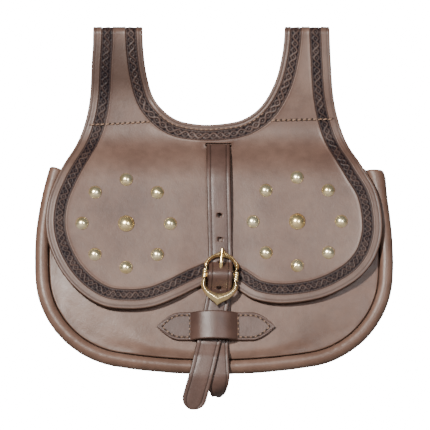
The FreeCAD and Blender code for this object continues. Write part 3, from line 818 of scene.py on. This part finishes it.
def line_x(points, z):
    """x at a height on a line of points (x, z) that runs downwards, held at its two ends."""
    for (x0, z0), (x1, z1) in zip(points, points[1:]):
        if z1 <= z <= z0:
            return x0 + (x1 - x0) * (z0 - z) / (z0 - z1)
    return points[0][0] if z > points[0][1] else points[-1][0]


def smooth_x(path, points):
    """x along a path, evened out so that the strap's edges run smoothly."""
    n = 400
    values = [line_x(points, path.at(path.length * k / n)[0].y) for k in range(n + 1)]
    for _ in range(60):
        inner = [(a + b + c) / 3 for a, b, c in zip(values, values[1:], values[2:])]
        values = [values[0]] + inner + [values[-1]]

    def at(s):
        f = min(max(s / path.length, 0.0), 1.0) * n
        i = min(int(f), n - 1)
        return values[i] + (values[i + 1] - values[i]) * (f - i)
    return at


HUMP_W = BAR_W + 6.5
STRAP_PATH = Path(rounded(
    [on_shoulder(20, -2.3), on_shoulder(6.4, -2.3), on_shoulder(6.4, 2.15), on_front(-1, 7.4),
     on_front(32, 6.8), on_front(56, 4.4), on_front(BAR_V - 9.0, 4.4), on_front(BAR_V, HUMP_W),
     on_front(BAR_V + 8.8, 5.8), on_front(BAR_V + 13.0, 2.95), on_front(127.5, 2.95),
     on_front(137, 5.0), on_front(150, 5.0), (-58.0, -234.0)],
    [2.3, 2.3, 38.0, 30.0, 30.0, 2.4, 4.5, 1.6, 4.0, 12.0, 12.0, 24.0], 0.4))


def make_closing_strap():
    path = STRAP_PATH
    centre = smooth_x(path, STRAP_CENTRE)
    length = path.length
    r = STRAP_W / 2

    def half(s):
        left = length - s
        return r if left > r else math.sqrt(max(r * r - (r - left) ** 2, 0.0))

    stations = [0.5 * k for k in range(int((length - r) / 0.5))]
    stations += [length - r * (1 - math.sin(math.radians(a))) for a in range(0, 91, 6)]
    verts, faces, fields = strap(path, centre, half, STRAP_T, stations)
    obj = build("closing_strap", verts, faces, None, [STRAP_LEATHER, HOLE_SHADE],
                ["closing_strap"], fields)
    first = front_v(-99.0, 4.6)
    cutters = []
    for i in range(4):
        v = first + 17.2 * i
        z = on_front(v, 5.0)[1]
        s = min((abs(path.at(0.5 * k)[0].y - z), 0.5 * k) for k in range(20, int(length / 0.5)))[1]
        p, d = path.at(s)
        cutters.append((Vector((centre(s), p.x, p.y)), Vector((0, -d.y, d.x)), 1.7 if i != 2 else 1.45))
    punch(obj, cutters)
    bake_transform(obj)


def punch(obj, cutters):
    """Round holes through a strap."""
    bm = bmesh.new()
    for at, axis, r in cutters:
        turn = Vector((0, 0, 1)).rotation_difference(axis).to_matrix().to_4x4()
        turn.translation = at * MM
        bmesh.ops.create_cone(bm, cap_ends=True, segments=24, radius1=r * MM, radius2=r * MM,
                              depth=9 * MM, matrix=turn)
    mesh = bpy.data.meshes.new("cutters")
    bm.to_mesh(mesh)
    bm.free()
    tool = link_object("cutters", mesh)
    cut = obj.modifiers.new("holes", "BOOLEAN")
    cut.operation = "DIFFERENCE"
    cut.object = tool
    cut.solver = "EXACT"
    bpy.context.view_layer.update()
    done = bpy.data.meshes.new_from_object(obj.evaluated_get(bpy.context.evaluated_depsgraph_get()))
    obj.modifiers.clear()
    obj.data = done
    bpy.data.objects.remove(tool)


CHAPE_PATH = Path(rounded(
    [on_front(BAR_V - 0.5, BAR_W - 2.65), on_front(BAR_V + 3.0, BAR_W - 2.65), on_front(BAR_V + 7.6, 4.4),
     on_front(BAR_V + 11.2, 1.1), on_front(128, 1.1), on_front(136, 2.9), on_front(150, 2.9),
     (-56.0, -223.0), (-22.0, -226.0), (-1.25, -214.0), (-1.25, -203.0)],
    [3.0, 1.5, 3.0, 12.0, 12.0, 10.0, 12.0, 14.0, 5.0], 0.4))


def make_buckle_strap():
    path = CHAPE_PATH
    centre = smooth_x(path, LOOP_CENTRE)
    stations = [0.8 * k for k in range(int(path.length / 0.8) + 1)]
    low = min(range(400), key=lambda k: path.at(path.length * k / 400)[0].y) * path.length / 400

    def half(s):
        return 8.5 - 4.4 * smoothstep(low - 42, low - 14, s) * (1 - smoothstep(low + 10, low + 34, s))

    def twist(s):
        return math.radians(-20) * bell(s, low - 26, 10)

    def cup(s):
        return 2.6 * bell(s, low, 15)

    verts, faces, fields = strap(path, centre, half, CHAPE_T, stations, 2.4, twist, cup)
    build("buckle_strap", verts, faces, "pouch", STRAP_LEATHER, ["buckle_strap"], fields)
    # the chape: two cheeks of leather round the bar, with the tongue's slot between them
    verts, faces = [], []
    for x0, x1 in ((BAR_X - 9.2, BAR_X - 2.7), (BAR_X + 2.7, BAR_X + 9.2)):
        eye(verts, faces, [(1.9, 0.3), (2.3, 0.0), (2.9, 0.0), (3.3, 0.4)], x0, x1)
    edge_dye_and_shade = [0.6 * (min(abs(abs(v.x - BAR_X) - d) for d in (9.2, 2.7)) < 0.1) for v in verts]
    build("chape", verts, faces, "pouch", STRAP_LEATHER, (), {"edge": edge_dye_and_shade})


def eye(verts, faces, side, x0, x1):
    """Ring round the buckle's bar from x0 to x1; side is (radius, distance from its flat face)."""
    cy, cz = on_front(BAR_V, BAR_W)
    profile = [(r, x0 + d) for r, d in side] + [(r, x1 - d) for r, d in reversed(side)]
    base = len(verts)
    turns = 32
    for c, s in circle(turns):
        for r, x in profile:
            verts.append(Vector((x, cy + r * c, cz + r * s)))
    skin(faces, rings(base, turns, len(profile)), True)


TIP_START = 25.0            # where the keeper's pointed ends begin
ARCH_X = -1.4               # the arch stands a little to the left of the keeper's middle
COLUMN_X = 16.9             # its two upright stitch rows, each side of the arch


def make_keeper():
    """Pointed strap, flat at its stitched ends and arched over the closing strap."""
    arch = [(-17.3, 0.0), (-15.2, 2.0), (-10.4, 5.4), (-1.3, 7.2), (7.8, 5.4), (12.4, 2.0), (14.5, 0.0)]
    hump = spline(arch, 0.3)
    left, right = [[Vector((side * x, 0.0)) for x in (KEEPER_HALF, 20.0)] for side in (-1, 1)]
    line = left + hump + right[::-1]
    line = resample(line, 0.3)
    for _ in range(10):
        line = [line[0]] + [(a + b * 2 + c) / 4 for a, b, c in zip(line, line[1:], line[2:])] + [line[-1]]
    path = Path(resample(line, 0.5))
    across = [0.0, 0.12, 0.35, 0.8, 1.4, 1.9, 2.3, 2.7, 3.2, 4.5, 7.0]
    verts, faces, tool, edge_dye_and_shade, rows = [], [], [], [], []
    n = 170
    h_half = KEEPER_H / 2
    for i in range(n + 1):
        s = path.length * (0.5 - 0.5 * math.cos(math.pi * i / n))
        p, d = path.at(s)
        a = abs(p.x)
        if a > TIP_START:
            f = min((a - TIP_START) / (KEEPER_HALF - TIP_START), 1.0)
            hh = h_half * (1 - f ** 1.8) + 0.02
        else:
            hh = h_half
        row = []
        profile = [(-1, e) for e in across] + [(0, h_half)] + [(1, e) for e in reversed(across)]
        for side_of in (1, -1):
            for side, e in profile if side_of > 0 else reversed(profile):
                b = side * hh * (1 - e / h_half)
                h = round_edge(e)
                ends = smoothstep(15.6, 17.1, abs(p.x - ARCH_X))
                groove = bell(e, 2.3, 0.4) * ends if side_of > 0 else 0.0
                w = p.y + 1.05 + side_of * h - 0.2 * groove
                nx = -d.y * (side_of * h)
                q = front_point(KEEPER_X + p.x + nx, KEEPER_V - b, w)
                row.append(len(verts))
                verts.append(q)
                tool.append(0.4 * groove)
                edge_dye_and_shade.append(0.7 * (1 - smoothstep(0.2, 1.3, e)))
        rows.append(row)
    skin(faces, rows)
    faces.append(tuple(reversed(rows[0])))
    faces.append(tuple(rows[-1]))
    build("keeper", verts, faces, "pouch", STRAP_LEATHER, ["keeper"],
          {"tool": tool, "edge": edge_dye_and_shade})


# ---- brass

def revolve(profile, place, ring=32):
    """Closed round piece: profile is (radius, height), from the top centre outwards."""
    verts, faces = [place(0.0, 0.0, profile[0][1])], []
    for r, h in profile[1:]:
        for c, s in circle(ring):
            verts.append(place(r * c, r * s, h))
    for k in range(ring):
        faces.append((0, 1 + k, 1 + (k + 1) % ring))
    skin(faces, rings(1, len(profile) - 1, ring), flip=True)
    last = 1 + (len(profile) - 2) * ring
    faces.append(tuple(last + k for k in reversed(range(ring))))
    return verts, faces


def make_studs():
    for side, (cx, cz) in STUD_RINGS.items():
        places = [("centre", cx, cz, 5.8, 3.3)]
        for i in range(8):
            a = math.radians(90 - 45 * i)
            x, z = cx + STUD_RING_R * math.cos(a), cz + STUD_RING_R * math.sin(a)
            places.append((str(i + 1), x, z, 4.65, 2.6))
        for name, x, z, r, rise in places:
            v = front_v(z, FLAP_FRONT_W)
            lift = on_leather(x, z) - front_point(x, v, FLAP_FRONT_W)
            ball = (r * r + rise * rise) / (2 * rise)
            top = math.asin(min(r * 0.93 / ball, 1.0))
            angles = [top * k / 10 for k in range(11)]
            profile = [(ball * math.sin(a), rise - ball + ball * math.cos(a)) for a in angles]
            profile += [(r, profile[-1][1] - 0.25), (r, 0.15), (r * 0.96, -0.35)]
            seed = x * 3.1 + z

            def place(px, py, h, v=v, x=x, lift=lift, seed=seed):
                dent = 0.05 * noise.noise(Vector((px / 2.4 + seed, py / 2.4, 0)))
                return front_point(x + px, v - py, FLAP_FRONT_W + h + dent) + lift

            verts, faces = revolve(profile, place)
            node = "stud_%s_%s" % (side, name)
            build(node, verts, faces, "flap", BRASS if name == "centre" else PALE_BRASS, [node])


OUTER_TOP = [(0, 19.2), (2.2, 16.6), (7.2, 13.6), (11.4, 9.2), (12.2, 6.4), (11.0, 3.4)]
OUTER_LOW = [(11.0, -3.2), (12.9, -6.2), (11.9, -11.0), (7.4, -16.4), (2.4, -19.9), (0, -22.2)]
INNER_TOP = [(0, 12.9), (5.2, 11.9), (8.6, 8.6), (9.65, 4.6), (9.65, 3.4)]
INNER_LOW = [(9.65, -3.2), (9.65, -6.2), (8.9, -9.2), (5.6, -11.9), (0, -13.4)]
TILT = math.radians(-6.4)


def buckle_point(p, q, w):
    x = p * math.cos(TILT) - q * math.sin(TILT)
    y = p * math.sin(TILT) + q * math.cos(TILT)
    return front_point(BAR_X + x, BAR_V - y, BAR_W + w)


def point_along(samples, t):
    """Point at the fraction t of an evenly sampled line."""
    f = t * (len(samples) - 1)
    k = min(int(f), len(samples) - 2)
    return samples[k].lerp(samples[k + 1], f - k)


def make_buckle_frame():
    """Faceted double-loop frame: each side of the bar is a band between an outer and an inner line."""
    verts, faces = [], []

    def band(outer, inner, ridge, steps=60):
        o = resample(spline(outer, 0.2), 0.2)
        i = resample(spline(inner, 0.2), 0.2)
        rows = []
        for k in range(2 * steps + 1):
            f = k / steps - 1
            side = 1 if f >= 0 else -1
            t = abs(f)
            a, b = [Vector((side * q.x, q.y)) for q in (point_along(o, t), point_along(i, t))]
            h = ridge(t)
            section = [(a.lerp(b, 0.12), -0.85), (a, -0.7)]
            for j in range(19):
                u = j / 18
                slope = 1 - abs(2 * u - 1)
                height = 0.62 * slope + 0.38 * math.sin(math.pi * slope / 2)
                section.append((a.lerp(b, u), -0.5 + (h + 0.5) * height))
            section += [(b, -0.7), (b.lerp(a, 0.12), -0.85)]
            rows.append([len(verts) + j for j in range(len(section))])
            verts.extend(buckle_point(q.x, q.y, w) for q, w in section)
        skin(faces, rows, flip=True)
        faces.append(tuple(rows[0]))
        faces.append(tuple(reversed(rows[-1])))

    band(OUTER_TOP, INNER_TOP, lambda t: 1.55 + 0.5 * bell(t, 0.0, 0.14))
    band(OUTER_LOW[::-1], INNER_LOW[::-1], lambda t: 1.7 + 0.9 * bell(t, 0.0, 0.35))
    turns, ring = 18, 10
    for side in (1, -1):
        for y in (-2.5, -0.85, 0.85, 2.5):
            base = len(verts)
            for across, up in circle(turns):
                for c, s in circle(ring):
                    wide = 0.95 * c - side * 0.45 * across
                    rr = 1.30 + 0.40 * s * (1 if s > 0 else 0.4)
                    verts.append(buckle_point(side * 11.0 + rr * across, y + wide, rr * up * 0.95))
            skin(faces, rings(base, turns, ring), True)
    build("buckle_frame", verts, faces, "buckle", BRASS, ["buckle_frame"])


def make_tongue():
    """Flattened shank that comes through the strap and rests on the frame's upper point."""
    points = [on_front(BAR_V - v, BAR_W + w) for v, w in ((2.0, 0.4), (7.5, 3.3), (18.8, 3.3))]
    path = Path(rounded(points, [6.0], 0.3))
    verts, faces = [], []
    ring = 14
    n = 48
    for i in range(n + 1):
        p, d = path.at(path.length * i / n)
        f = i / n
        wide = 1.35 - 0.45 * f
        tall = 1.1 - 0.35 * f
        if f > 0.94:
            end = math.sqrt(max(1 - ((f - 0.94) / 0.06) ** 2, 0.0005))
            wide *= end
            tall *= end
        x = BAR_X + 1.2 * f
        for c, s in circle(ring):
            q = p + Vector((-d.y, d.x)) * tall * s * -1
            verts.append(Vector((x + wide * c, q.x, q.y)))
    skin(faces, rings(0, n + 1, ring))
    faces.append(tuple(reversed(range(ring))))
    faces.append(tuple(n * ring + k for k in range(ring)))
    eye(verts, faces, [(1.85, 0.3), (2.1, 0.0), (2.7, 0.0), (3.0, 0.4)], BAR_X - 2.0, BAR_X + 2.0)
    build("buckle_tongue", verts, faces, "tongue", BRASS, ["buckle_tongue"])


# ---- stitching

def add_thread(verts, faces, marks, middle, along, out, length=2.7, r=0.42, sunk=0.12, hole_r=0.5):
    """One stitch: a fat thread that dips into a hole at each end, each hole a dark disc of painted shade."""
    side = out.cross(along).normalized()
    ring, n = 8, 8
    base = len(verts)
    for i in range(n + 1):
        f = -1 + 2 * i / n
        rr = r * math.sqrt(max(1 - f ** 6, 0.02))
        c = middle + along * (f * length / 2) + out * (r - sunk - 0.55 * f ** 4)
        verts += [c + side * rr * x + out * rr * y for x, y in circle(ring)]
    skin(faces, rings(base, n + 1, ring))
    marks += [0] * (n * ring)
    for f in (-1, 1):
        c = middle + along * (f * (length / 2 + 0.15)) + out * 0.06
        faces.append(tuple(range(len(verts), len(verts) + 10)))
        verts += [c + side * hole_r * x + along * hole_r * 1.4 * y for x, y in circle(10)]
        marks.append(1)


def stitch_piece(name, spots, **shape):
    """A row of stitches on the pouch; spots are (middle, along, out)."""
    verts, faces, marks = [], [], []
    for middle, along, out in spots:
        add_thread(verts, faces, marks, middle, along.normalized(), out.normalized(), **shape)
    obj = build(name, verts, faces, "pouch", [THREAD, HOLE_SHADE], [name])
    for polygon, mark in zip(obj.data.polygons, marks):
        polygon.material_index = mark


def spots_along(points, out, pitch=3.5):
    even = resample(points, pitch)
    return [((a + b) / 2, b - a, out) for a, b in zip(even, even[1:])]


def make_stitches():
    rows = {"left": [(-87.2, -35.4), (-66, -34.6), (-44.5, -33.2)],
            "right": [(40.0, -32.4), (60, -31.9), (83.5, -31.4)]}
    for side, row in rows.items():
        points = [on_leather(p.x, p.y) for p in spline(row, 1.0)]
        spots = [(m, a + Vector((0, 0, 0.9)), o) for m, a, o in spots_along(points, Vector((0, -1, 0)))]
        stitch_piece("loop_stitches_" + side, spots, r=0.55, length=2.9, hole_r=0.7)
    neck = [(-39.0, -27.6), (-29.6, -34.6), (-12.6, -38.7), (4.9, -38.4), (22.6, -35.3), (35.2, -26.9)]
    points = [on_leather(p.x, p.y) for p in spline(neck, 1.0)]
    spots = spots_along(points, Vector((0, -1, 0)))
    stitch_piece("neck_stitches", spots, r=0.42, length=2.4, sunk=0.45, hole_r=0.6)

    spots = []
    up = Vector((0, -math.cos(SLOPE), math.sin(SLOPE)))
    h = KEEPER_H / 2
    for s in (1, -1):
        for t in (1, -1):
            flat = []
            for k in range(21):
                f = k / 20
                hh = (h - 2.3) * (1 - f ** 1.8)
                flat.append((s * (TIP_START + (KEEPER_HALF - 3.6 - TIP_START) * f), t * hh))
            run = [Vector((s * COLUMN_X + ARCH_X, t * (h - 2.3)))] + [Vector(p) for p in flat]
            points = [front_point(KEEPER_X + p.x, KEEPER_V - p.y, 2.05) for p in run]
            spots += spots_along(points, up, 3.4)
        points = [front_point(KEEPER_X + s * COLUMN_X + ARCH_X, KEEPER_V - y, 2.05) for y in (-7.6, 0, 7.6)]
        spots += spots_along(points, up, 3.4)
    stitch_piece("keeper_stitches", spots, r=0.42, length=2.0, hole_r=0.66)

    seam = [Vector((p.x, 1.75, on_front(-p.y, 0)[1])) for p in pouch_line(7.2, 1.0, 5.0)]
    stitch_piece("back_seam_stitches", spots_along(seam, Vector((0, 1, 0)), 4.0), r=0.38)


# ---- scene

MIDDLE = Vector((0, -0.03, -0.10))
GROUND_GLOW = 17.0
SKY = 0.07
KEY = 84
SHEEN = 15
REAR = 40


def add_light(name, at, power, size, colour):
    """Square lamp that looks at the middle of the pouch."""
    lamp = bpy.data.lights.new(name, "AREA")
    lamp.energy = power
    lamp.size = size
    lamp.color = colour
    obj = link_object(name, lamp)
    obj.location = at
    obj.rotation_euler = (MIDDLE - obj.location).to_track_quat("-Z", "Y").to_euler()


def bright_for_camera(tree, shader, output):
    """The plain ground looks bright white to the camera, whatever its light on the pouch is."""
    nodes, links = tree.nodes, tree.links
    path = nodes.new("ShaderNodeLightPath")
    glow = nodes.new("ShaderNodeEmission")
    glow.inputs["Color"].default_value = (1.0, 1.0, 1.0, 1)
    glow.inputs["Strength"].default_value = GROUND_GLOW
    mix = nodes.new("ShaderNodeMixShader")
    links.new(path.outputs["Is Camera Ray"], mix.inputs[0])
    links.new(nodes[shader].outputs[0], mix.inputs[1])
    links.new(glow.outputs[0], mix.inputs[2])
    links.new(mix.outputs[0], nodes[output].inputs["Surface"])


def make_stage():
    mesh = bpy.data.meshes.new("floor")
    z = -0.262
    mesh.from_pydata([(-12, -12, z), (12, -12, z), (12, 12, z), (-12, 12, z)], [], [(0, 1, 2, 3)])
    floor = link_object("floor", mesh)
    m = two_tone("floor", 0.6, 2.0, 0.5, (0.20, 0.18, 0.17), (0.24, 0.22, 0.21), 0.9)
    bright_for_camera(m.node_tree, "Principled BSDF", "Material Output")
    mesh.materials.append(m)
    world = bpy.data.worlds.new("studio")
    bpy.context.scene.world = world
    world.use_nodes = True
    sky = world.node_tree.nodes["Background"]
    sky.inputs["Color"].default_value = (0.80, 0.90, 1.0, 1)
    sky.inputs["Strength"].default_value = SKY
    bright_for_camera(world.node_tree, "Background", "World Output")
    add_light("key", (-0.78, -1.75, 0.80), KEY, 0.20, (1.0, 0.96, 0.91))
    add_light("sheen", (0.70, -1.90, 0.46), SHEEN, 0.5, (0.95, 0.97, 1.0))
    add_light("rear", (0.9, 1.6, 1.1), REAR, 1.0, (0.95, 0.97, 1.0))


def make_camera():
    """Long lens, level with the pouch and straight in front of it."""
    data = bpy.data.cameras.new("camera")
    data.lens = 600
    data.clip_end = 60
    camera = link_object("camera", data)
    target = Vector((0.0007, -0.02, -0.0987))
    distance = 0.301 * data.lens / data.sensor_width
    camera.location = target + Vector((0, -distance, 0))
    camera.rotation_euler = (target - camera.location).to_track_quat("-Z", "Y").to_euler()
    bpy.context.scene.camera = camera


def keep_cad(nodes, material):
    for name in nodes:
        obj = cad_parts[name]
        obj.data.materials.clear()
        obj.data.materials.append(material)


make_leather()
make_front_panel()
make_back_panel()
make_gusset()
make_piping()
make_closing_strap()
make_buckle_strap()
make_keeper()
make_studs()
make_buckle_frame()
make_tongue()
make_stitches()
keep_cad(["buckle_bar", "stud_burrs_left", "stud_burrs_right"], BRASS)
keep_cad(["piping_core"], THREAD)
make_stage()
make_camera()
